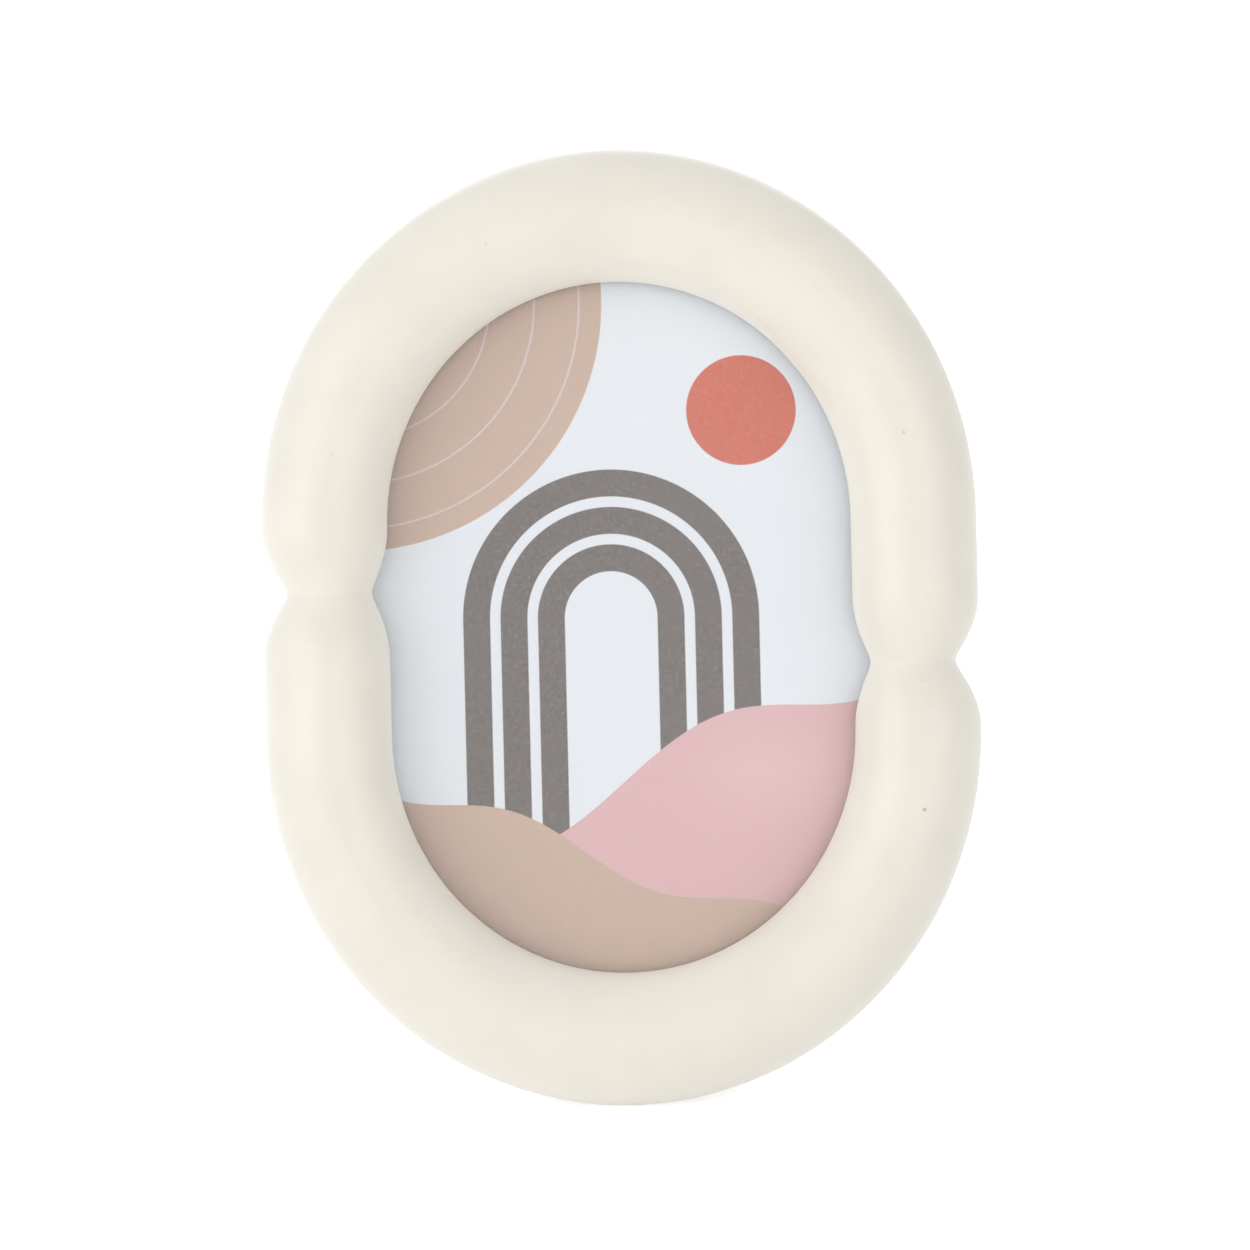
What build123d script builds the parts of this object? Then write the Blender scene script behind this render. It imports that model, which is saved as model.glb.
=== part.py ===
from build123d import *
import os
from math import atan2, cos, degrees, hypot, pi, radians, sin

# An oval table-top picture frame: one cast ring, pinched once on each long side, glazed from
# behind and standing on a hinged easel leg. Millimetres and degrees.
#
# Every piece is modelled upright in the ring's own frame: X to the right, Z up, Y towards the
# back, with the origin at the centre of the ring's flat back. stand() then leans the piece
# back and moves the origin to the table, at the middle of the flat that the ring stands on.

# Ring: the outline is two half ellipses joined by straight sides, and so is the window
RING_WIDTH = 143.0
RING_HEIGHT = 191.0
STRAIGHT_SIDE = 42.2
TUBE_WIDTH_AT_SIDE = 25.1
TUBE_WIDTH_AT_CROWN = 26.3
FRONT_RISE = 13.4  # from the tube's widest line to its crest
BACK_CORNER = 8.0  # how far the outer back corner rounds in
LIP_THICKNESS = 2.0  # straight wall in front of the glass

# Pinches: the left crease is above the middle, the right one as far below it
PINCH_OFFSET = 8.1
PINCH_REACH = 12.5  # how far each side of a crease the tube narrows
PINCH_OUTER = 4.75
PINCH_INNER = 3.3
PINCH_FRONT = 3.5
CREASE_BLUNTNESS = 1.2
PINCH_FULLNESS_SHARE = 1.8
PINCH_SECTIONS = 12
PINCH_GRADING_SHARE = 1.5  # above 1, sections crowd towards the crease
SECTION_SPACING = 9.0  # between the sections of the bend

# Rebate and what lies in it
LIP_AT_PINCH = 1.8  # how far the lip still covers the glass where the window is widest
EDGE_CLEARANCE = 0.5
GLASS_THICKNESS = 2.0
PRINT_GAP = 0.05  # air between the glass and the print
PICTURE_THICKNESS = 0.3
FILLER_THICKNESS = 1.2
BOARD_THICKNESS = 3.0
COVER_THICKNESS = 0.3
COVER_MARGIN = 0.5
BACK_RECESS = 0.3  # from the ring's back down to the cover

# Stance
LEAN = 15.0
LEG_OPENING = 30.0
STANDING_FLAT_DEPTH = 0.4
CUT_OVERRUN = 5.0  # how far a cutting solid runs past what it cuts

# Turn buttons and their screws
BUTTON_PLACE_ANGLE = 46.0  # on the window's elliptical ends, from the horizontal
BUTTON_WIDTH = 7.4
BUTTON_TONGUE = 13.0  # from the screw to the tip
BUTTON_TIP_LENGTH = 3.5  # the tip is bent up for a finger
BUTTON_TIP_RISE = 1.1
BUTTON_THICKNESS = 0.8
BUTTON_SCREW_INSET = 4.6  # from the rebate's wall to the screw
BUTTON_LIFT = 0.1  # running gap under the button and under the screw's head
SCREW_DIAMETER = 3.0
SCREW_LENGTH = 9.0
SCREW_POINT = 2.0
SCREW_HEAD_DIAMETER = 6.0
SCREW_HEAD_HEIGHT = 1.8
SCREW_HEAD_ROUND = 1.1
SCREW_SLOT_WIDTH = 0.9
SCREW_SLOT_DEPTH = 0.9
SCREW_SLOT_LENGTH = 3.4
HOLE_CLEARANCE = 0.08  # round a screw, a rivet or a pin
PILOT_SPARE = 1.0  # how far a pilot hole runs past its screw

# Hinge
HINGE_TO_HANGER = 10.6  # from the board's leaf up to the hanger's strap
HINGE_SHEET = 0.8
HINGE_PIN_DIAMETER = 2.4
HINGE_PIN_SPARE = 0.5  # how far the pin stands out of each end knuckle
HINGE_PIN_CHAMFER = 0.3
KNUCKLE_LIFT = 0.3  # gap between the knuckles and the cover
KNUCKLE_LENGTH = 9.8  # the middle knuckle
KNUCKLE_GAP = 0.3  # between neighbouring knuckles
END_KNUCKLE_LENGTH = 5.8
LEAF_SETBACK = 0.4  # from the knuckles to the broad part of the other leaf
BOARD_LEAF_LENGTH = 17.0
LEG_LEAF_LENGTH = 20.0
LEG_LEAF_WIDTH = 17.0
LEAF_CORNER = 3.0
STOP_LUG_LENGTH = 5.0
STOP_LUG_WIDTH = 7.0
STOP_LUG_GAP = 0.06  # between the stop lug and the board's leaf when the leg is open
RIVET_DIAMETER = 2.6
RIVET_HEAD_DIAMETER = 5.0
RIVET_HEAD_HEIGHT = 0.9
RIVET_HEAD_ROUND = 0.75
LEAF_RIVET_SPACING = 10.0

# Leg
LEG_THICKNESS = 2.5
LEG_TOP_WIDTH = 25.0
LEG_FOOT_WIDTH = 46.0
LEG_TOP_CORNER = 4.0
LEG_FOOT_CORNER = 5.0
LEG_FOOT_SPARE = 0.6  # drawn past the table, then cut to it
LEG_COVER_SHORT = 1.5  # how far the cover stops above the foot

# Hanger
HANGER_INSET = 12.3  # from the rebate's top down to the D-ring's pivot
HANGER_SHEET = 0.6
HANGER_WIDTH = 7.0
HANGER_LENGTH = 9.4  # from the pivot to the strap's round end
HANGER_CORNER = 2.0
HANGER_RIVET_DROP = 6.5  # below the pivot
WIRE_DIAMETER = 1.6
WIRE_SHOULDER_RADIUS = 1.6
LOOP_SIDE_GAP = 1.7  # between the strap and the D-ring's sides
LOOP_END_GAP = 0.8  # between the strap's end and the D-ring's bow
HANGER_LIFT = 0.3  # from the cover to the eye

# Worked out from the sizes above
HALF_WIDTH = RING_WIDTH / 2
HALF_HEIGHT = RING_HEIGHT / 2
HALF_STRAIGHT = STRAIGHT_SIDE / 2
END_RISE = HALF_HEIGHT - HALF_STRAIGHT
WINDOW_HALF_WIDTH = HALF_WIDTH - TUBE_WIDTH_AT_SIDE
WINDOW_END_RISE = END_RISE - TUBE_WIDTH_AT_CROWN
REBATE_OVERLAP = PINCH_INNER + LIP_AT_PINCH
COVER_BACK = -BACK_RECESS
BOARD_BACK = COVER_BACK - COVER_THICKNESS
FILLER_BACK = BOARD_BACK - BOARD_THICKNESS
PICTURE_BACK = FILLER_BACK - FILLER_THICKNESS
PICTURE_FRONT = PICTURE_BACK - PICTURE_THICKNESS
GLASS_BACK = PICTURE_FRONT - PRINT_GAP
GLASS_FRONT = GLASS_BACK - GLASS_THICKNESS
WAIST = LIP_THICKNESS - GLASS_FRONT  # from the ring's back forward to the tube's widest line
SCREW_RADIUS = SCREW_DIAMETER / 2
SCREW_SEAT = BUTTON_THICKNESS + 2 * BUTTON_LIFT  # underside of a screw's head
RIVET_RADIUS = RIVET_DIAMETER / 2
PIN_RADIUS = HINGE_PIN_DIAMETER / 2
KNUCKLE_BORE = PIN_RADIUS + HOLE_CLEARANCE
KNUCKLE_RADIUS = KNUCKLE_BORE + HINGE_SHEET
PIN_Y = COVER_BACK + KNUCKLE_LIFT + KNUCKLE_RADIUS
LEAF_START = KNUCKLE_RADIUS + LEAF_SETBACK
LEG_LEAF_FRONT = KNUCKLE_RADIUS - HINGE_SHEET  # behind the pin, with the leg folded
LEG_BACK = LEG_LEAF_FRONT - COVER_THICKNESS
LEG_FRONT = LEG_BACK - LEG_THICKNESS
HINGE_WIDTH = KNUCKLE_LENGTH + 2 * (KNUCKLE_GAP + END_KNUCKLE_LENGTH)
WIRE_RADIUS = WIRE_DIAMETER / 2
HANGER_HEIGHT = HALF_STRAIGHT + WINDOW_END_RISE + REBATE_OVERLAP - HANGER_INSET
HINGE_HEIGHT = HANGER_HEIGHT - HANGER_LENGTH - HINGE_TO_HANGER - BOARD_LEAF_LENGTH
LOOP_RADIUS = HANGER_WIDTH / 2 + LOOP_SIDE_GAP + WIRE_RADIUS  # to the wire's centre
LOOP_DROP = HANGER_LENGTH + LOOP_END_GAP + WIRE_RADIUS - LOOP_RADIUS  # to the bow's centre
EYE_BORE = WIRE_RADIUS + HOLE_CLEARANCE
EYE_RADIUS = EYE_BORE + HANGER_SHEET
EYE_Y = COVER_BACK + HANGER_LIFT + EYE_RADIUS


def lowest_point():
    """Where the leaning ring's round back corner is lowest: its depth, height and drop from the centre."""
    side = sin(radians(LEAN))
    down = cos(radians(LEAN))
    corner_y = -WAIST
    corner_z = BACK_CORNER - HALF_HEIGHT
    reach = hypot(BACK_CORNER * down, WAIST * side)
    y = corner_y + WAIST**2 * side / reach
    z = corner_z - BACK_CORNER**2 * down / reach
    return y, z, corner_y * side - corner_z * down + reach


CONTACT_Y, CONTACT_Z, CONTACT_DEPTH = lowest_point()
TABLE_DEPTH = CONTACT_DEPTH - STANDING_FLAT_DEPTH
CONTACT_SHIFT = CONTACT_Y * cos(radians(LEAN)) + CONTACT_Z * sin(radians(LEAN))


def stand(shape):
    """Leans a piece back and sets it on the table."""
    return Pos(0, -CONTACT_SHIFT, TABLE_DEPTH) * Rot(-LEAN, 0, 0) * shape


def below_table():
    """A slab that reaches up to the table's surface, to cut what stands on it."""
    size = 2 * RING_HEIGHT
    return Pos(0, 0, -size / 2) * Box(size, size, size)


# Ring


def pinch(distance):
    """Share of the full pinch at a distance along the tube from a crease."""
    away = hypot(distance, CREASE_BLUNTNESS) - CREASE_BLUNTNESS
    reach = hypot(PINCH_REACH, CREASE_BLUNTNESS) - CREASE_BLUNTNESS
    return max(0, 1 - away / reach) ** PINCH_FULLNESS_SHARE


MID_HALF_WIDTH = HALF_WIDTH - TUBE_WIDTH_AT_SIDE / 2
MID_END_RISE = END_RISE - TUBE_WIDTH_AT_CROWN / 2
FIRST_STRAIGHT = HALF_STRAIGHT - PINCH_OFFSET
BEND_LENGTH = pi * (MID_HALF_WIDTH + MID_END_RISE) / 2
ARCH_LENGTH = FIRST_STRAIGHT + BEND_LENGTH + HALF_STRAIGHT + PINCH_OFFSET


def rim_points(distance):
    """Outer and inner point of the plain tube, at a distance along the upper arch from the left crease."""
    past_first = distance - FIRST_STRAIGHT
    past_bend = past_first - BEND_LENGTH
    if past_first < 0:
        side, up, height = -1, 0, HALF_STRAIGHT + past_first
    elif past_bend > 0:
        side, up, height = 1, 0, HALF_STRAIGHT - past_bend
    else:
        turn = pi * past_first / BEND_LENGTH
        side, up, height = -cos(turn), sin(turn), HALF_STRAIGHT
    outer = Vector(HALF_WIDTH * side, 0, height + END_RISE * up)
    inner = Vector(WINDOW_HALF_WIDTH * side, 0, height + WINDOW_END_RISE * up)
    return outer, inner


def ring_section(distance):
    """Section of the tube: a domed front, a round outer back corner and a straight inner wall."""
    outer, inner = rim_points(distance)
    outward = (outer - inner).normalized()
    share = pinch(distance) + pinch(ARCH_LENGTH - distance)
    outer = outer - outward * (PINCH_OUTER * share)
    inner = inner + outward * (PINCH_INNER * share)
    half = (outer - inner).length / 2
    rise = FRONT_RISE - PINCH_FRONT * share
    along = Vector(outward.Z, 0, -outward.X)
    plane = Plane(origin=(outer + inner) / 2, x_dir=outward, z_dir=along)
    edges = [
        EllipticalCenterArc((0, WAIST), half, rise, 0, arc_size=90),
        EllipticalCenterArc((0, WAIST), half, rise, 90, arc_size=90),
        Line((-half, WAIST), (-half, 0)),
        Line((-half, 0), (half - BACK_CORNER, 0)),
        EllipticalCenterArc((half - BACK_CORNER, WAIST), BACK_CORNER, WAIST, 270, arc_size=90),
    ]
    return plane * make_face(edges)


def pinched_stretch(start, towards):
    """The tube from a crease, as far as the pinch reaches."""
    steps = [(step / PINCH_SECTIONS) ** PINCH_GRADING_SHARE for step in range(PINCH_SECTIONS + 1)]
    return loft([ring_section(start + towards * PINCH_REACH * step) for step in steps])


def pinched_arch():
    """The upper half of the ring, from the left crease over the top to the right crease."""
    last = ARCH_LENGTH - PINCH_REACH
    bend_start = max(FIRST_STRAIGHT, PINCH_REACH)
    bend_end = min(FIRST_STRAIGHT + BEND_LENGTH, last)
    count = round((bend_end - bend_start) / SECTION_SPACING)
    step = (bend_end - bend_start) / count
    arch = loft([ring_section(bend_start + step * number) for number in range(count + 1)])
    for near, far in ((PINCH_REACH, bend_start), (bend_end, last)):
        if far > near:
            arch += loft([ring_section(near), ring_section(far)])
    return arch + [pinched_stretch(0, 1), pinched_stretch(ARCH_LENGTH, -1)]


def oval(grow):
    """The window's outline moved outwards by grow, as a face."""
    half_width = WINDOW_HALF_WIDTH + grow
    rise = WINDOW_END_RISE + grow
    top = EllipticalCenterArc((0, HALF_STRAIGHT), half_width, rise, 0, arc_size=180)
    bottom = EllipticalCenterArc((0, -HALF_STRAIGHT), half_width, rise, 180, arc_size=180)
    return make_face([top, Line(top @ 1, bottom @ 0), bottom, Line(bottom @ 1, top @ 0)])


def slab(face, front, back):
    """A flat piece of the face's outline, between two depths."""
    return Pos(0, back, 0) * extrude(Plane.XZ * face, amount=back - front)


def backwards(shape):
    """Turns what was modelled along Z so that it points to the back."""
    return Rot(-90, 0, 0) * shape


def crosswise(shape):
    """Turns what was modelled along Z so that it lies along X."""
    return Rot(0, 90, 0) * shape


def hole(radius, front, back):
    """A round cutter through the Y axis, between two depths."""
    return Pos(0, (front + back) / 2, 0) * backwards(Cylinder(radius, back - front))


def button_places():
    """Where each turn button's screw stands, with the turn that points its tongue inwards."""
    half_width = WINDOW_HALF_WIDTH + REBATE_OVERLAP
    rise = WINDOW_END_RISE + REBATE_OVERLAP
    places = {}
    for row, up in (("upper", 1), ("lower", -1)):
        for column, right in (("left", -1), ("right", 1)):
            across = right * cos(radians(BUTTON_PLACE_ANGLE))
            along = up * sin(radians(BUTTON_PLACE_ANGLE))
            wall = Vector(half_width * across, 0, up * HALF_STRAIGHT + rise * along)
            outward = Vector(across / half_width, 0, along / rise).normalized()
            screw = wall + outward * BUTTON_SCREW_INSET
            places[f"{row}_{column}"] = Pos(screw) * Rot(0, degrees(atan2(outward.X, outward.Z)), 0)
    return places


def frame_ring():
    """The casting: two arches that meet at the creases, the rebate, the pilot holes and the flat."""
    arch = pinched_arch()
    ring = arch + Rot(0, 180, 0) * arch
    ring -= slab(oval(REBATE_OVERLAP), GLASS_FRONT, CUT_OVERRUN)
    pilot = hole(SCREW_RADIUS + HOLE_CLEARANCE, SCREW_SEAT - SCREW_LENGTH - PILOT_SPARE, CUT_OVERRUN)
    for place in button_places().values():
        ring -= place * pilot
    return stand(ring) - below_table()


# Sheets in the rebate


def sheet(front, back, margin=EDGE_CLEARANCE):
    """An oval sheet that drops into the rebate."""
    return slab(oval(REBATE_OVERLAP - margin), front, back)


def board_rivet_holes():
    """Cutters for the rivets through the board and its cover."""
    cutter = hole(RIVET_RADIUS + HOLE_CLEARANCE, FILLER_BACK - CUT_OVERRUN, CUT_OVERRUN)
    return [place * cutter for place in [*board_rivet_places(), hanger_rivet_place()]]


def glass_pane():
    return stand(sheet(GLASS_FRONT, GLASS_BACK))


def picture_insert():
    return stand(sheet(PICTURE_FRONT, PICTURE_BACK))


def filler_card():
    return stand(sheet(PICTURE_BACK, FILLER_BACK))


def backing_board():
    board = sheet(FILLER_BACK, BOARD_BACK)
    return stand(board - board_rivet_holes())


def backing_cover():
    cover = sheet(BOARD_BACK, COVER_BACK, EDGE_CLEARANCE + COVER_MARGIN)
    return stand(cover - board_rivet_holes())


# Turn buttons and fasteners


def headed_pin(radius, length, head_radius, head_height, head_round):
    """A pin along Z under a domed head whose flat underside lies at the origin."""
    shank = Pos(0, 0, -length / 2) * Cylinder(radius, length)
    head = Pos(0, 0, head_height / 2) * Cylinder(head_radius, head_height)
    head = fillet(head.edges().sort_by(Axis.Z)[-1], head_round)
    return shank + head


def turn_button():
    """A steel turn button with its screw hole at the origin and its tongue pointing down."""
    half = BUTTON_WIDTH / 2
    middle = half - BUTTON_TONGUE
    outline = Pos(0, middle / 2) * SlotCenterToCenter(-middle, BUTTON_WIDTH, rotation=90)
    front = BUTTON_LIFT
    back = front + BUTTON_THICKNESS
    bend = BUTTON_TIP_LENGTH - BUTTON_TONGUE
    profile = Polyline(
        (front, half),
        (front, bend),
        (front + BUTTON_TIP_RISE, -BUTTON_TONGUE),
        (back + BUTTON_TIP_RISE, -BUTTON_TONGUE),
        (back, bend),
        (back, half),
        close=True,
    )
    strip = extrude(Plane.YZ * make_face(profile), amount=half, both=True)
    body = strip & slab(outline, front, back + BUTTON_TIP_RISE)
    return body - hole(SCREW_RADIUS + HOLE_CLEARANCE, -CUT_OVERRUN, CUT_OVERRUN)


def button_screw():
    """A pan-head screw with a cross slot and a tapered point, seated over its turn button."""
    screw = headed_pin(
        SCREW_RADIUS,
        SCREW_LENGTH - SCREW_POINT,
        SCREW_HEAD_DIAMETER / 2,
        SCREW_HEAD_HEIGHT,
        SCREW_HEAD_ROUND,
    )
    screw += Pos(0, 0, SCREW_POINT / 2 - SCREW_LENGTH) * Cone(SCREW_RADIUS / 4, SCREW_RADIUS, SCREW_POINT)
    slot = Pos(0, 0, SCREW_HEAD_HEIGHT) * Box(SCREW_SLOT_LENGTH, SCREW_SLOT_WIDTH, 2 * SCREW_SLOT_DEPTH)
    screw -= slot + Rot(0, 0, 90) * slot
    return Pos(0, SCREW_SEAT, 0) * backwards(screw)


def rivet(grip):
    """A domed rivet with its head's underside at the origin, through a stack of the given thickness."""
    pin = headed_pin(RIVET_RADIUS, grip, RIVET_HEAD_DIAMETER / 2, RIVET_HEAD_HEIGHT, RIVET_HEAD_ROUND)
    return backwards(pin)


# Hinge and leg: these are modelled about the hinge's pin, and the leg's pieces folded


def at_pin(shape):
    return stand(Pos(0, PIN_Y, HINGE_HEIGHT) * shape)


def opened(shape):
    """Swings a leg piece out to its stop."""
    return at_pin(Rot(LEG_OPENING, 0, 0) * shape)


def knuckle(start, end):
    """A rolled eye round the pin, between two places along it."""
    return Pos((start + end) / 2, 0, 0) * crosswise(Cylinder(KNUCKLE_RADIUS, end - start))


def pin_bore():
    return crosswise(Cylinder(KNUCKLE_BORE, 2 * HINGE_WIDTH))


def board_rivet_places():
    middle = HINGE_HEIGHT + (LEAF_START + BOARD_LEAF_LENGTH) / 2
    return [Pos(side * LEAF_RIVET_SPACING / 2, 0, middle) for side in (-1, 1)]


def hinge_board_leaf():
    """The leaf on the board, with a knuckle at each end."""
    front = COVER_BACK - PIN_Y
    middle = (LEAF_START + BOARD_LEAF_LENGTH) / 2
    broad = Pos(0, middle) * Rectangle(HINGE_WIDTH, BOARD_LEAF_LENGTH - LEAF_START)
    broad = fillet(broad.vertices().group_by(Axis.Y)[-1], LEAF_CORNER)
    leaf = slab(broad, front, front + HINGE_SHEET)
    inner = KNUCKLE_LENGTH / 2 + KNUCKLE_GAP
    neck = Pos(inner + END_KNUCKLE_LENGTH / 2, LEAF_START / 2) * Rectangle(END_KNUCKLE_LENGTH, LEAF_START)
    arm = slab(neck, front, front + HINGE_SHEET) + knuckle(inner, inner + END_KNUCKLE_LENGTH)
    leaf += [arm, mirror(arm, Plane.YZ)]
    cutter = hole(RIVET_RADIUS + HOLE_CLEARANCE, -CUT_OVERRUN, CUT_OVERRUN)
    holes = [Pos(side * LEAF_RIVET_SPACING / 2, 0, middle) * cutter for side in (-1, 1)]
    return at_pin(leaf - pin_bore() - holes)


def leg_rivet_places():
    middle = -(LEAF_START + LEG_LEAF_LENGTH) / 2
    return [Pos(side * LEAF_RIVET_SPACING / 2, 0, middle) for side in (-1, 1)]


def leg_rivet_holes():
    cutter = hole(RIVET_RADIUS + HOLE_CLEARANCE, LEG_FRONT - CUT_OVERRUN, CUT_OVERRUN)
    return [place * cutter for place in leg_rivet_places()]


def hinge_leg_leaf():
    """The leaf on the leg, with the middle knuckle and the lug that stops the leg when open."""
    back = LEG_LEAF_FRONT + HINGE_SHEET
    middle = -(LEAF_START + LEG_LEAF_LENGTH) / 2
    broad = Pos(0, middle) * Rectangle(LEG_LEAF_WIDTH, LEG_LEAF_LENGTH - LEAF_START)
    broad = fillet(broad.vertices().group_by(Axis.Y)[0], LEAF_CORNER)
    neck = Pos(0, -LEAF_START / 2) * Rectangle(KNUCKLE_LENGTH, LEAF_START)
    leaf = slab(broad + neck, LEG_LEAF_FRONT, back)
    leaf += knuckle(-KNUCKLE_LENGTH / 2, KNUCKLE_LENGTH / 2)
    lug_front = COVER_BACK + HINGE_SHEET + STOP_LUG_GAP - PIN_Y
    lug = Pos(0, STOP_LUG_LENGTH / 2) * Rectangle(STOP_LUG_WIDTH, STOP_LUG_LENGTH)
    leaf += Rot(-LEG_OPENING, 0, 0) * slab(lug, lug_front, lug_front + HINGE_SHEET)
    return opened(leaf - pin_bore() - leg_rivet_holes())


def hinge_pin():
    pin = Cylinder(PIN_RADIUS, HINGE_WIDTH + 2 * HINGE_PIN_SPARE)
    pin = chamfer(pin.edges().filter_by(GeomType.CIRCLE), HINGE_PIN_CHAMFER)
    return at_pin(crosswise(pin))


def leg_reach():
    """Distance from the pin to the table along the open leg."""
    pin_height = TABLE_DEPTH + HINGE_HEIGHT * cos(radians(LEAN)) - PIN_Y * sin(radians(LEAN))
    return pin_height / cos(radians(LEG_OPENING - LEAN))


def leg_face(margin, length):
    """The leg's tapered outline, drawn inside it by a margin, from below the pin to a length."""
    top = -LEAF_START - margin
    top_half = LEG_TOP_WIDTH / 2 - margin
    foot_half = LEG_FOOT_WIDTH / 2 - margin
    outline = make_face(
        Polyline((-top_half, top), (top_half, top), (foot_half, -length), (-foot_half, -length), close=True)
    )
    outline = fillet(outline.vertices().group_by(Axis.Y)[-1], LEG_TOP_CORNER - margin)
    return fillet(outline.vertices().group_by(Axis.Y)[0], LEG_FOOT_CORNER - margin)


def easel_leg():
    """The leg's board, cut at the foot to lie on the table."""
    board = slab(leg_face(0, leg_reach() + LEG_FOOT_SPARE), LEG_FRONT, LEG_BACK)
    return opened(board - leg_rivet_holes()) - below_table()


def leg_cover():
    cover = slab(leg_face(COVER_MARGIN, leg_reach() - LEG_COVER_SHORT), LEG_BACK, LEG_LEAF_FRONT)
    return opened(cover - leg_rivet_holes())


# Hanger: the strap is folded round the D-ring's wire and riveted through both layers


def hanger_rivet_place():
    return Pos(0, 0, HANGER_HEIGHT - HANGER_RIVET_DROP)


def hanger_strap():
    front = COVER_BACK - EYE_Y
    plate = Pos(0, -HANGER_LENGTH / 2) * Rectangle(HANGER_WIDTH, HANGER_LENGTH)
    plate = fillet(plate.vertices().group_by(Axis.Y)[0], HANGER_CORNER)
    strap = slab(plate, front, front + 2 * HANGER_SHEET) + crosswise(Cylinder(EYE_RADIUS, HANGER_WIDTH))
    strap -= crosswise(Cylinder(EYE_BORE, 2 * HANGER_WIDTH))
    strap -= Pos(0, 0, -HANGER_RIVET_DROP) * hole(RIVET_RADIUS + HOLE_CLEARANCE, -CUT_OVERRUN, CUT_OVERRUN)
    return stand(Pos(0, EYE_Y, HANGER_HEIGHT) * strap)


def hanger_ring():
    """A D of bent wire that hangs plumb from the eye."""
    bend = WIRE_SHOULDER_RADIUS
    bar = LOOP_RADIUS - bend
    path = Wire(
        [
            Line((0, 0), (bar, 0)),
            CenterArc((bar, -bend), bend, 90, -90),
            Line((LOOP_RADIUS, -bend), (LOOP_RADIUS, -LOOP_DROP)),
            CenterArc((0, -LOOP_DROP), LOOP_RADIUS, 0, -180),
            Line((-LOOP_RADIUS, -LOOP_DROP), (-LOOP_RADIUS, -bend)),
            CenterArc((-bar, -bend), bend, 180, -90),
            Line((-bar, 0), (0, 0)),
        ]
    )
    wire = sweep(Plane.YZ * Circle(WIRE_RADIUS), path=Plane.XZ * path)
    return stand(Pos(0, EYE_Y, HANGER_HEIGHT) * Rot(LEAN, 0, 0) * wire)


def pieces():
    """Every node of the model by name."""
    places = button_places()
    board_grip = HINGE_SHEET + COVER_THICKNESS + BOARD_THICKNESS
    leg_grip = HINGE_SHEET + COVER_THICKNESS + LEG_THICKNESS
    hanger_grip = 2 * HANGER_SHEET + COVER_THICKNESS + BOARD_THICKNESS
    board_rivet = Pos(0, COVER_BACK + HINGE_SHEET, 0) * rivet(board_grip)
    leg_rivet = Pos(0, LEG_LEAF_FRONT + HINGE_SHEET, 0) * rivet(leg_grip)
    nodes = {
        "frame_ring": frame_ring(),
        "glass_pane": glass_pane(),
        "picture_insert": picture_insert(),
        "filler_card": filler_card(),
        "backing_board": backing_board(),
        "backing_cover": backing_cover(),
        "turn_button_screws": stand(Compound([place * button_screw() for place in places.values()])),
        "hinge_board_leaf": hinge_board_leaf(),
        "hinge_leg_leaf": hinge_leg_leaf(),
        "hinge_pin": hinge_pin(),
        "hinge_board_rivets": stand(Compound([place * board_rivet for place in board_rivet_places()])),
        "hinge_leg_rivets": opened(Compound([place * leg_rivet for place in leg_rivet_places()])),
        "easel_leg": easel_leg(),
        "leg_cover": leg_cover(),
        "hanger_strap": hanger_strap(),
        "hanger_ring": hanger_ring(),
        "hanger_rivet": stand(
            hanger_rivet_place() * Pos(0, COVER_BACK + 2 * HANGER_SHEET, 0) * rivet(hanger_grip)
        ),
    }
    for name, place in places.items():
        nodes[f"turn_button_{name}"] = stand(place * turn_button())
    return nodes


if __name__ == "__main__":
    os.makedirs("parts", exist_ok=True)
    for name, shape in pieces().items():
        export_step(shape, f"parts/{name}.step")
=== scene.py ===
from math import cos, radians, sin

import bpy
from mathutils import Matrix, Vector


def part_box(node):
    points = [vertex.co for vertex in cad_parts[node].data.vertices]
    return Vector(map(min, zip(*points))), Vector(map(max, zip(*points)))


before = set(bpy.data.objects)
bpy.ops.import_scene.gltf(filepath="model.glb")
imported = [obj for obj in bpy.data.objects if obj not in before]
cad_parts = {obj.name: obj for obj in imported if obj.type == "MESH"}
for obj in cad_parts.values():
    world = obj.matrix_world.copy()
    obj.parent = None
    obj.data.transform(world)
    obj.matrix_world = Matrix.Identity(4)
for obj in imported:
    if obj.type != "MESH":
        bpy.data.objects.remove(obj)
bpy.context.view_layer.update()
MM = 0.001

# The frame leans back; these are the directions of its face and the middle of its glass
LEAN = radians(15)
RIGHT = Vector((1, 0, 0))
UP = Vector((0, sin(LEAN), cos(LEAN)))
BACK = Vector((0, cos(LEAN), -sin(LEAN)))
GLASS_LOW, GLASS_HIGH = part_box("glass_pane")
GLASS_MIDDLE = (GLASS_LOW + GLASS_HIGH) / 2

# Camera: the photograph was taken square on to the face, and turned a little about the view
PHOTO_SIZE_PX = 1250
FACE_CENTRE_PX = (621.35, 627.3)
PHOTO_SCALE = 0.2 * MM  # at the tube's widest line, for each pixel
PHOTO_ROLL = radians(1.35)
CAMERA_DISTANCE = 1.3
SENSOR_WIDTH = 36.0
WAIST_DEPTH = 3.0 * MM  # from the middle of the glass forward to the tube's widest line

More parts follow.
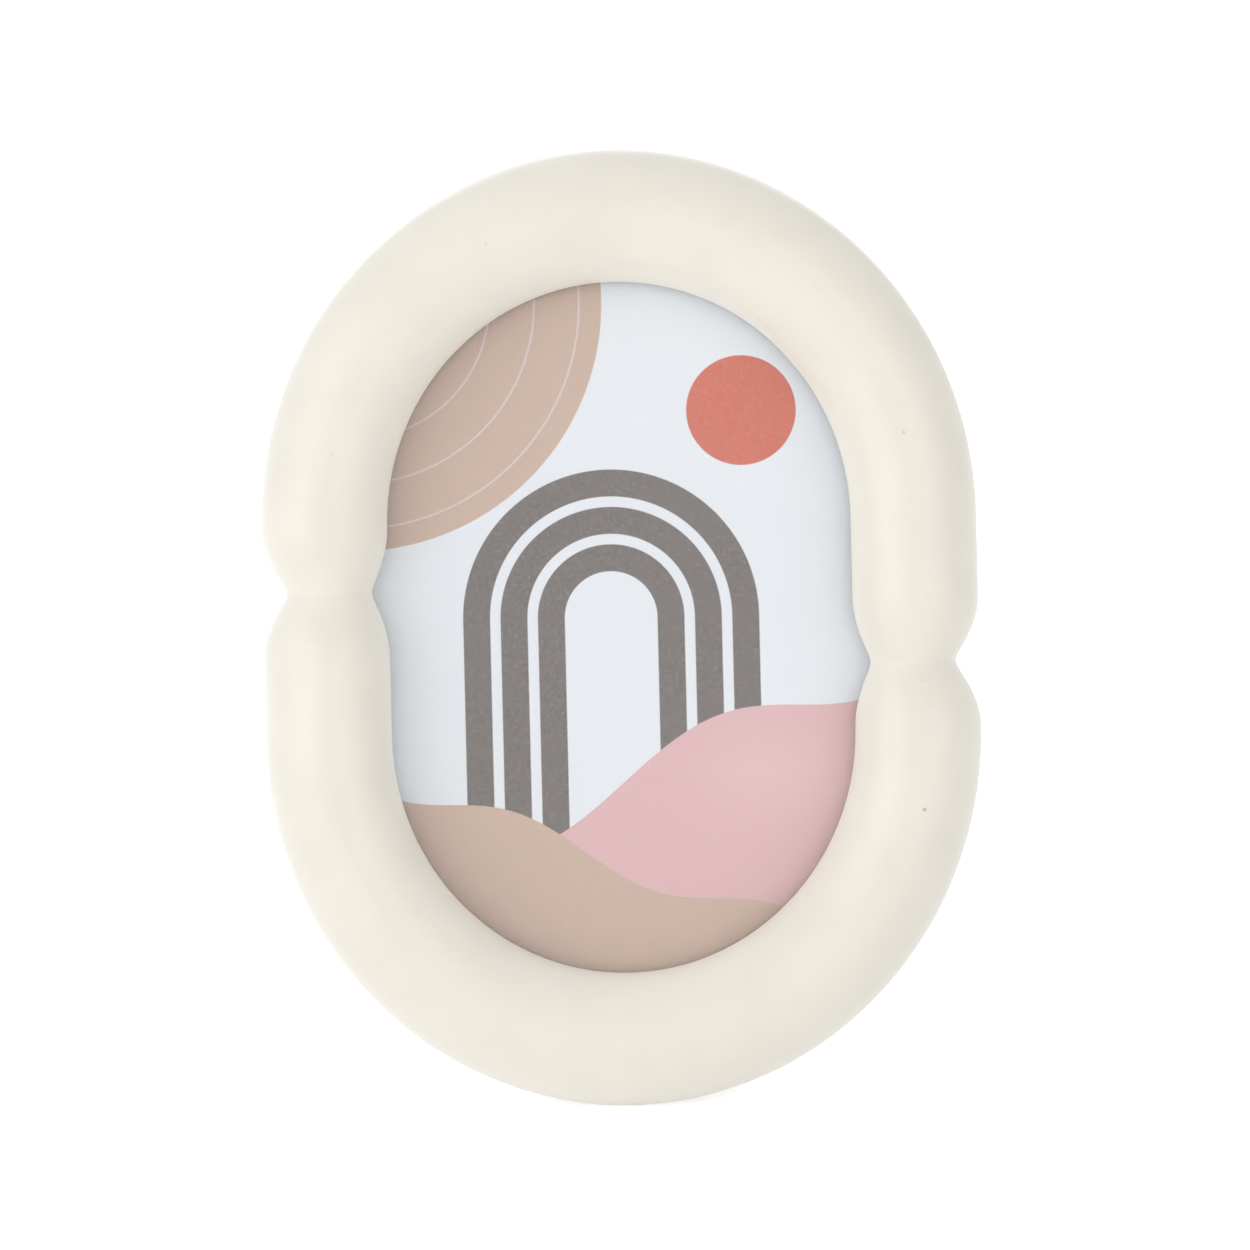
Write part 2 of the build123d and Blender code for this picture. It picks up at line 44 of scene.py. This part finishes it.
# Colours, as linear red, green and blue
CREAM = (0.852, 0.823, 0.748, 1)
# The colour painted into the pits as the shade inside them
PIT_PAINTED_SHADE = (0.42, 0.37, 0.29, 1)
PAPER_WHITE = (0.84, 0.84, 0.90, 1)
DUSTY_PINK = (0.765, 0.452, 0.48, 1)
CORAL = (0.65, 0.113, 0.053, 1)
TAUPE = (0.61, 0.42, 0.335, 1)
PALE_LINE = (0.72, 0.58, 0.57, 1)
WARM_GREY = (0.13, 0.10, 0.093, 1)
SMEAR_WHITE = (0.95, 0.95, 0.95, 1)
CLEAR = (0.985, 0.995, 0.99, 1)
WHITE = (1, 1, 1, 1)
GREYBOARD = (0.45, 0.43, 0.39, 1)
FIBREBOARD = (0.40, 0.27, 0.165, 1)
FLOCK = (0.018, 0.018, 0.02, 1)
NICKEL = (0.53, 0.515, 0.48, 1)
ZINC = (0.48, 0.49, 0.50, 1)

# Light: name, azimuth and elevation in degrees, distance, size and power of each lamp; the sky's
# strength on the object; the floor's grey, the light that it adds and how much more is seen
LAMPS = (
    ("left_wall", -65, 10, 1.2, 1.6, 6.3),
    ("right", 38, 10, 1.2, 1.0, 3.5),
    ("low_left", -45, 5, 1.0, 0.9, 2.7),
    ("front", 0, 15, 1.5, 1.25, 2.3),
    ("behind", 180, 5, 1.2, 1.0, 2.2),
)
SKY = 0.555
FLOOR_SIZE = 6.0
FLOOR_GREY = 0.85
FLOOR_BOUNCE = 0.057
FLOOR_GLOW = 0.55

# A soft bright patch of the surroundings, seen in the glass: right, up, half width, half height
# and softness, where the glass mirrors it, in millimetres
MIRRORED_PATCH = (29, -30, 13, 5, 7)
PATCH_STRENGTH = 1.3

# In the finishes below, a range is the stretch of a noise over which it goes from 0 to 1, and
# shades are the factors by which the colour is made darker or lighter at those two ends
SPOT_EDGE_SHARE = 0.5  # the soft edge of a pit or a speck, as a share of its radius

# Paint: grain is the fine relief left by the spray
MOTTLE_SIZE = 14 * MM
MOTTLE_RANGE = (0.35, 0.75)
MOTTLE_SHADES = (1, 0.975)
PAINT_ROUGHNESS = (0.30, 0.36)
PAINT_PATCH_SIZE = 3 * MM
PAINT_GRAIN_SIZE = 0.7 * MM
PAINT_GRAIN_SHARE = 0.12
PIT_DEPTH = 0.12 * MM
# How far painted shade darkens the pits
PIT_SHADE_SHARE = 0.6

# Pits in the paint of the face, bumped and darkened with painted shade: right and up from the middle
# of the glass, radius and strength
PITS = (
    (59.2, -37.5, 0.32, 1.0),
    (56.8, 37.3, 0.26, 0.6),
    (-25.1, 76.5, 0.26, 0.4),
    (60.8, 4.0, 0.22, 0.35),
    (59.5, -11.9, 0.24, 0.35),
    (-56.4, 35.6, 0.28, 0.3),
)

# The print, in millimetres right and up from the middle of the glass
QUARTER_DISC = (-52, 66, 49.5)
RULE_SPACING = 9
RULE_HALF_WIDTH = 0.2
SUN_DISC = (25, 43, 11)
ARCH_MIDDLE = (-2, 2)
ARCH_RADII = (27, 19.5, 12)
ARCH_HALF_WIDTH = 2.7
INK_SOFTNESS = 0.12

# The hills of the print: slope, height, and the height, rate and start of their wave
PINK_HILL = (0.42, -31, 5, 0.09, 0)
TAUPE_HILL = (-0.38, -48, -3, 0.12, 1)

# Paper grain, and the specks of dust on it, whose spacing and radius are in millimetres
PAPER_ROUGHNESS = 0.55
PAPER_GRAIN_SIZE = 0.8 * MM
PAPER_GRAIN_RANGE = (0.3, 0.8)
PAPER_GRAIN_SHARE = 0.06
DUST_SPACING = 2.2
DUST_RADIUS = 0.13
DUST_DRIFT_SIZE = 25 * MM
DUST_DRIFT_RANGE = (0.2, 0.9)
DUST_SHARE = 0.25

# Glass: the share it mirrors square on, how much more edge on, and the smears on its front
MIRROR_ROUGHNESS = 0.05
MIRRORED_SQUARE_ON = 0.04
MORE_MIRRORED_EDGE_ON = 0.96
EDGE_ON_POWER = 5
SMEAR_SIZE = 20 * MM
SMEAR_STRETCH = (1, 1, 2.5)
SMEAR_RANGE = (0.5, 0.8)
SMEAR_SHARE = 0.012

# Metal: roughness of each kind, the streaks rubbed into it and its dull patches
PRESSED_ROUGHNESS = 0.3
SCREW_ROUGHNESS = 0.34
RIVET_ROUGHNESS = 0.26
WIRE_ROUGHNESS = 0.24
STREAK_SIZE = 0.6 * MM
STREAK_STRETCH = (1, 1, 0.06)
STREAK_DEPTH = 0.012 * MM
DULL_PATCH_SIZE = 4 * MM
METAL_RANGE = (0.35, 0.65)
METAL_SHADES = (0.84, 1.05)
STREAK_ROUGHENING = 0.14
DULL_ROUGHENING = 0.12
MEAN_ROUGHENING = (STREAK_ROUGHENING + DULL_ROUGHENING) / 2

# Boards and flock: the size of their fibres and the depth of their relief
FLOCK_SIZE = 0.4 * MM
FLOCK_RANGE = (0.4, 0.75)
FLOCK_SHADES = (1, 2.2)
FLOCK_RELIEF_SIZE = 0.25 * MM
FLOCK_DEPTH = 0.08 * MM
FIBRE_SIZE = 0.6 * MM
FIBRE_STRETCH = (1, 1, 3)
FIBRE_SHADES = (0.72, 1.25)
FIBRE_DEPTH = 0.06 * MM
CARD_FIBRE_SIZE = 0.8 * MM
CARD_FIBRE_SHADES = (0.8, 1.15)
CARD_FIBRE_DEPTH = 0.05 * MM

PRESSED_NODES = (
    "turn_button_upper_left",
    "turn_button_upper_right",
    "turn_button_lower_left",
    "turn_button_lower_right",
    "hinge_board_leaf",
    "hinge_leg_leaf",
    "hanger_strap",
)
RIVET_NODES = ("hinge_board_rivets", "hinge_leg_rivets", "hanger_rivet")


class Field:
    """A number that varies over a surface, held as the output of shader nodes."""

    def __init__(self, tree, socket):
        self.tree = tree
        self.socket = socket

    def math(self, operation, *others):
        node = self.tree.nodes.new("ShaderNodeMath")
        node.operation = operation
        for socket, value in zip(node.inputs, (self, *others)):
            if isinstance(value, Field):
                self.tree.links.new(value.socket, socket)
            else:
                socket.default_value = value
        return Field(self.tree, node.outputs[0])

    def __add__(self, other):
        return self.math("ADD", other)

    def __sub__(self, other):
        return self.math("SUBTRACT", other)

    def __mul__(self, other):
        return self.math("MULTIPLY", other)

    def __abs__(self):
        return self.math("ABSOLUTE")

    @staticmethod
    def total(fields):
        first, *others = fields
        for field in others:
            first = first + field
        return first

    def step(self, low, high):
        """0 below low and 1 above high, smooth between them."""
        node = self.tree.nodes.new("ShaderNodeMapRange")
        node.interpolation_type = "SMOOTHSTEP"
        self.tree.links.new(self.socket, node.inputs["Value"])
        node.inputs["From Min"].default_value = low
        node.inputs["From Max"].default_value = high
        return Field(self.tree, node.outputs[0])


def facing(tree, vector, direction):
    """The part of a vector that lies along a direction."""
    node = tree.nodes.new("ShaderNodeVectorMath")
    node.operation = "DOT_PRODUCT"
    node.inputs[1].default_value = direction
    tree.links.new(vector, node.inputs[0])
    return Field(tree, node.outputs["Value"])


class Finish:
    """A material under construction, with the few node patterns that the finishes share."""

    def __init__(self, name, colour, sockets):
        self.material = bpy.data.materials.new(name)
        self.material.use_nodes = True
        self.tree = self.material.node_tree
        self.shader = self.tree.nodes["Principled BSDF"]
        self.shader.inputs["Base Color"].default_value = colour
        for socket, value in sockets.items():
            self.shader.inputs[socket].default_value = value
        self.place = self.tree.nodes.new("ShaderNodeTexCoord").outputs["Object"]

    def link(self, field, socket):
        self.tree.links.new(field.socket, self.shader.inputs[socket])

    def stretched(self, scale):
        """The place on the object, with each axis scaled."""
        node = self.tree.nodes.new("ShaderNodeMapping")
        node.inputs["Scale"].default_value = scale
        self.tree.links.new(self.place, node.inputs["Vector"])
        return node.outputs["Vector"]

    def noise(self, size, detail=2.0, stretch=(1, 1, 1)):
        """Noise from 0 to 1 with features of about that size in metres."""
        node = self.tree.nodes.new("ShaderNodeTexNoise")
        node.inputs["Scale"].default_value = 1 / size
        node.inputs["Detail"].default_value = detail
        self.tree.links.new(self.stretched(stretch), node.inputs["Vector"])
        return Field(self.tree, node.outputs["Fac"])

    def specks(self, spacing, radius, kept_share):
        """1 inside round specks on the face, in that share of the cells; sizes in millimetres."""
        flat = self.tree.nodes.new("ShaderNodeCombineXYZ")
        for field, socket in zip(on_face(self), flat.inputs):
            self.tree.links.new(field.socket, socket)
        cells = self.tree.nodes.new("ShaderNodeTexVoronoi")
        cells.voronoi_dimensions = "2D"
        cells.inputs["Scale"].default_value = 1 / spacing
        self.tree.links.new(flat.outputs["Vector"], cells.inputs["Vector"])
        split = self.tree.nodes.new("ShaderNodeSeparateColor")
        self.tree.links.new(cells.outputs["Color"], split.inputs["Color"])
        kept = Field(self.tree, split.outputs["Red"]).math("LESS_THAN", kept_share)
        distance = Field(self.tree, cells.outputs["Distance"]) * spacing
        return inside(distance - radius, radius * SPOT_EDGE_SHARE) * kept

    def along(self, direction, origin):
        """Distance from an origin along a direction, over the object."""
        return facing(self.tree, self.place, direction) - origin.dot(direction)

    def mix(self, first, second, share):
        """One colour over another where the share is 1; a colour is a value or a socket."""
        node = self.tree.nodes.new("ShaderNodeMix")
        node.data_type = "RGBA"
        for name, colour in (("A", first), ("B", second)):
            socket = next(s for s in node.inputs if s.name == name and s.type == "RGBA")
            if isinstance(colour, tuple):
                socket.default_value = colour
            else:
                self.tree.links.new(colour, socket)
        self.tree.links.new(share.socket, node.inputs["Factor"])
        return next(s for s in node.outputs if s.type == "RGBA")

    def shaded(self, colour, shades, share):
        """A colour in its first shade where the share is 0, and in its second where it is 1."""
        first, second = shades
        return self.mix(tinted(colour, first), tinted(colour, second), share)

    def blend(self, first, second, share):
        """One shader node over another where the share is 1."""
        node = self.tree.nodes.new("ShaderNodeMixShader")
        self.tree.links.new(share.socket, node.inputs[0])
        self.tree.links.new(first.outputs[0], node.inputs[1])
        self.tree.links.new(second.outputs[0], node.inputs[2])
        return node

    def colour(self, socket):
        self.tree.links.new(socket, self.shader.inputs["Base Color"])

    def bump(self, height, depth):
        """Relief of that depth in metres, from a field of heights from 0 to 1."""
        node = self.tree.nodes.new("ShaderNodeBump")
        node.inputs["Distance"].default_value = depth
        self.tree.links.new(height.socket, node.inputs["Height"])
        self.tree.links.new(node.outputs["Normal"], self.shader.inputs["Normal"])


def on_face(finish):
    """Millimetres right and up from the middle of the glass, over the object."""
    return tuple(finish.along(way, GLASS_MIDDLE) * (1 / MM) for way in (RIGHT, UP))


def in_front(finish):
    """1 on what stands before the middle of the glass, and so on the front of the pane only."""
    return finish.along(BACK, GLASS_MIDDLE).math("LESS_THAN", 0)


def distance_to(across, up, right, height):
    """Distance on the face from a point at that right and height."""
    return ((across - right).math("POWER", 2) + (up - height).math("POWER", 2)).math("SQRT")


def inside(distance, softness):
    """1 where a distance is negative, with an edge that is twice as wide as the softness."""
    return distance.step(-softness, softness) * -1 + 1


def tinted(colour, factor):
    """A colour made lighter or darker."""
    return tuple(channel * factor for channel in colour[:3]) + (1,)


def satin_cream():
    """Satin paint on cast resin, with a faint mottle and a few pits left by bubbles, whose relief is
    bumped and whose shade is painted into the colour.
    """
    finish = Finish("cast_resin", CREAM, {"Diffuse Roughness": 1.0})
    across, up = on_face(finish)
    pits = Field.total(
        inside(distance_to(across, up, right, height) - radius, radius * SPOT_EDGE_SHARE) * strength
        for right, height, radius, strength in PITS
    ) * in_front(finish)
    mottle = finish.noise(MOTTLE_SIZE, detail=3).step(*MOTTLE_RANGE)
    mottled = finish.shaded(CREAM, MOTTLE_SHADES, mottle)
    # Painted shade: the pits are darkened in the colour, besides their bumped relief
    finish.colour(finish.mix(mottled, PIT_PAINTED_SHADE, pits * PIT_SHADE_SHARE))
    glossiest, dullest = PAINT_ROUGHNESS
    finish.link(finish.noise(PAINT_PATCH_SIZE) * (dullest - glossiest) + glossiest, "Roughness")
    finish.bump(finish.noise(PAINT_GRAIN_SIZE) * PAINT_GRAIN_SHARE - pits, PIT_DEPTH)
    return finish.material


def clear_glass():
    """A clear pane: light passes straight through it, and it mirrors a little, with faint smears."""
    finish = Finish("glass", SMEAR_WHITE, {"Roughness": 0.8})
    tree = finish.tree
    clear = tree.nodes.new("ShaderNodeBsdfTransparent")
    clear.inputs["Color"].default_value = CLEAR
    mirror = tree.nodes.new("ShaderNodeBsdfGlossy")
    mirror.inputs["Roughness"].default_value = MIRROR_ROUGHNESS
    edge_on = Field(tree, tree.nodes.new("ShaderNodeLayerWeight").outputs["Facing"])
    edge_on = edge_on.math("POWER", EDGE_ON_POWER)
    mirrored = edge_on * MORE_MIRRORED_EDGE_ON + MIRRORED_SQUARE_ON
    pane = finish.blend(clear, mirror, mirrored)
    smears = finish.noise(SMEAR_SIZE, detail=3, stretch=SMEAR_STRETCH).step(*SMEAR_RANGE)
    shown = finish.blend(pane, finish.shader, smears * in_front(finish) * SMEAR_SHARE)
    tree.links.new(shown.outputs[0], tree.nodes["Material Output"].inputs["Surface"])
    return finish.material


def printed_paper():
    """A generic print: a disc and three arches over two hills, and a ruled quarter disc above."""
    finish = Finish("printed_paper", PAPER_WHITE, {"Roughness": PAPER_ROUGHNESS})
    across, up = on_face(finish)

    def inked(distance):
        return inside(distance, INK_SOFTNESS)

    def disc(right, height, radius):
        return inked(distance_to(across, up, right, height) - radius)

    def hill(slope, height, wave, rate, start):
        return inked(up - across * slope - (across * rate + start).math("SINE") * wave - height)

    rules = abs(distance_to(across, up, *QUARTER_DISC[:2]).math("PINGPONG", RULE_SPACING / 2))
    right, foot = ARCH_MIDDLE
    arch = distance_to(across, up.math("MAXIMUM", foot), right, foot)
    arches = Field.total(inked(abs(arch - radius) - ARCH_HALF_WIDTH) for radius in ARCH_RADII)

    quarter_disc = disc(*QUARTER_DISC)
    shown = finish.mix(PAPER_WHITE, TAUPE, quarter_disc)
    shown = finish.mix(shown, PALE_LINE, inked(rules - RULE_HALF_WIDTH) * quarter_disc)
    shown = finish.mix(shown, CORAL, disc(*SUN_DISC))
    shown = finish.mix(shown, WARM_GREY, arches)
    shown = finish.mix(shown, DUSTY_PINK, hill(*PINK_HILL))
    shown = finish.mix(shown, TAUPE, hill(*TAUPE_HILL))
    grain = finish.noise(PAPER_GRAIN_SIZE, detail=4).step(*PAPER_GRAIN_RANGE) * PAPER_GRAIN_SHARE
    drift = finish.noise(DUST_DRIFT_SIZE).step(*DUST_DRIFT_RANGE)
    dust = finish.specks(DUST_SPACING, DUST_RADIUS, drift) * DUST_SHARE
    finish.colour(finish.mix(shown, PAPER_WHITE, grain.math("MAXIMUM", dust)))
    return finish.material


def flocked_paper():
    """Black flocked paper: very matt, with a faint bloom at grazing angles."""
    sheen = {"Roughness": 0.95, "Sheen Weight": 0.35, "Sheen Roughness": 0.4}
    finish = Finish("flocked_paper", FLOCK, sheen)
    fluff = finish.noise(FLOCK_SIZE, detail=3).step(*FLOCK_RANGE)
    finish.colour(finish.shaded(FLOCK, FLOCK_SHADES, fluff))
    finish.bump(finish.noise(FLOCK_RELIEF_SIZE), FLOCK_DEPTH)
    return finish.material


def fibreboard():
    """Bare fibreboard, whose fibres lie flat in the sheet."""
    finish = Finish("fibreboard", FIBREBOARD, {"Roughness": 0.8})
    fibres = finish.noise(FIBRE_SIZE, detail=4, stretch=FIBRE_STRETCH)
    finish.colour(finish.shaded(FIBREBOARD, FIBRE_SHADES, fibres))
    finish.bump(fibres, FIBRE_DEPTH)
    return finish.material


def greyboard():
    """Uncoated grey card."""
    finish = Finish("greyboard", GREYBOARD, {"Roughness": 0.85})
    fibres = finish.noise(CARD_FIBRE_SIZE, detail=4)
    finish.colour(finish.shaded(GREYBOARD, CARD_FIBRE_SHADES, fibres))
    finish.bump(fibres, CARD_FIBRE_DEPTH)
    return finish.material


def plated(name, colour, roughness):
    """Plated steel, with fine rubbed streaks and slightly dull patches."""
    finish = Finish(name, colour, {"Metallic": 1})
    streaks = finish.noise(STREAK_SIZE, detail=3, stretch=STREAK_STRETCH)
    dull = finish.noise(DULL_PATCH_SIZE, detail=3)
    mean = (streaks + dull) * 0.5
    finish.colour(finish.shaded(colour, METAL_SHADES, mean.step(*METAL_RANGE)))
    roughening = streaks * STREAK_ROUGHENING + dull * DULL_ROUGHENING
    finish.link(roughening + (roughness - MEAN_ROUGHENING), "Roughness")
    finish.bump(streaks, STREAK_DEPTH)
    return finish.material


def dress(material, *nodes):
    """Gives CAD nodes a material in all their slots."""
    for name in nodes:
        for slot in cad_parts[name].material_slots:
            slot.material = material


def add_camera():
    """A long lens square on to the face, placed so that the photograph's scale and centre hold."""
    data = bpy.data.cameras.new("camera")
    data.sensor_width = SENSOR_WIDTH
    data.lens = SENSOR_WIDTH * CAMERA_DISTANCE / (PHOTO_SIZE_PX * PHOTO_SCALE)
    camera = bpy.data.objects.new("camera", data)
    turned = Matrix.Rotation(PHOTO_ROLL, 3, BACK)
    right = turned @ RIGHT
    up = turned @ UP
    middle = PHOTO_SIZE_PX / 2
    aim = GLASS_MIDDLE - BACK * WAIST_DEPTH
    aim += right * (middle - FACE_CENTRE_PX[0]) * PHOTO_SCALE
    aim -= up * (middle - FACE_CENTRE_PX[1]) * PHOTO_SCALE
    camera.matrix_world = Matrix.Translation(aim - BACK * CAMERA_DISTANCE) @ Matrix(
        (right, up, -BACK)
    ).transposed().to_4x4()
    bpy.context.collection.objects.link(camera)
    bpy.context.scene.camera = camera


def add_lamp(name, azimuth, elevation, distance, size, power):
    """A soft square lamp that faces the frame; azimuth 0 is in front and positive to the right."""
    data = bpy.data.lights.new(name, "AREA")
    data.size = size
    data.energy = power
    lamp = bpy.data.objects.new(name, data)
    side = radians(azimuth)
    rise = radians(elevation)
    towards = Vector((sin(side) * cos(rise), -cos(side) * cos(rise), sin(rise)))
    lamp.location = GLASS_MIDDLE + towards * distance
    lamp.rotation_mode = "QUATERNION"
    lamp.rotation_quaternion = towards.to_track_quat("Z", "Y")
    bpy.context.collection.objects.link(lamp)


def mirrored_patch(tree):
    """1 in the directions that the glass mirrors to the camera from one soft rectangle of it."""
    right, up, half_width, half_height, softness = MIRRORED_PATCH
    ray = tree.nodes.new("ShaderNodeTexCoord").outputs["Generated"]
    patch = facing(tree, ray, BACK).math("LESS_THAN", 0)
    for way, middle, half in ((RIGHT, right, half_width), (UP, up, half_height)):
        across = facing(tree, ray, way) * (CAMERA_DISTANCE / MM) - middle
        patch = patch * inside(abs(across) - half, softness)
    return patch


def seen(tree):
    """1 for what the camera sees, directly or in metal and glass."""
    path = tree.nodes.new("ShaderNodeLightPath")
    direct = Field(tree, path.outputs["Is Camera Ray"])
    mirrored = Field(tree, path.outputs["Is Glossy Ray"])
    through = Field(tree, path.outputs["Is Transmission Ray"])
    return direct.math("MAXIMUM", mirrored).math("MAXIMUM", through)


def add_surroundings():
    """A pale floor, a soft even sky that shows as white, and soft lamps."""
    world = bpy.data.worlds.new("studio")
    world.use_nodes = True
    tree = world.node_tree
    sky = tree.nodes["Background"]
    sky.inputs["Color"].default_value = WHITE
    shown = seen(tree) * (mirrored_patch(tree) * PATCH_STRENGTH + (1 - SKY))
    tree.links.new((shown + SKY).socket, sky.inputs["Strength"])
    bpy.context.scene.world = world

    finish = Finish("floor", tinted(WHITE, FLOOR_GREY), {"Roughness": 1, "Specular IOR Level": 0})
    finish.shader.inputs["Emission Color"].default_value = WHITE
    finish.link(seen(finish.tree) * FLOOR_GLOW + FLOOR_BOUNCE, "Emission Strength")
    half = FLOOR_SIZE / 2
    mesh = bpy.data.meshes.new("floor")
    corners = [(-half, -half, 0), (half, -half, 0), (half, half, 0), (-half, half, 0)]
    mesh.from_pydata(corners, [], [(0, 1, 2, 3)])
    mesh.materials.append(finish.material)
    floor = bpy.data.objects.new("floor", mesh)
    bpy.context.collection.objects.link(floor)
    for lamp in LAMPS:
        add_lamp(*lamp)


dress(satin_cream(), "frame_ring")
dress(clear_glass(), "glass_pane")
dress(printed_paper(), "picture_insert")
dress(greyboard(), "filler_card")
dress(fibreboard(), "backing_board", "easel_leg")
dress(flocked_paper(), "backing_cover", "leg_cover")
dress(plated("plated_steel", NICKEL, PRESSED_ROUGHNESS), *PRESSED_NODES)
dress(plated("screw_steel", ZINC, SCREW_ROUGHNESS), "turn_button_screws")
dress(plated("rivet_steel", NICKEL, RIVET_ROUGHNESS), *RIVET_NODES)
dress(plated("wire_steel", NICKEL, WIRE_ROUGHNESS), "hinge_pin", "hanger_ring")
add_camera()
add_surroundings()
bpy.context.scene.view_settings.view_transform = "Standard"
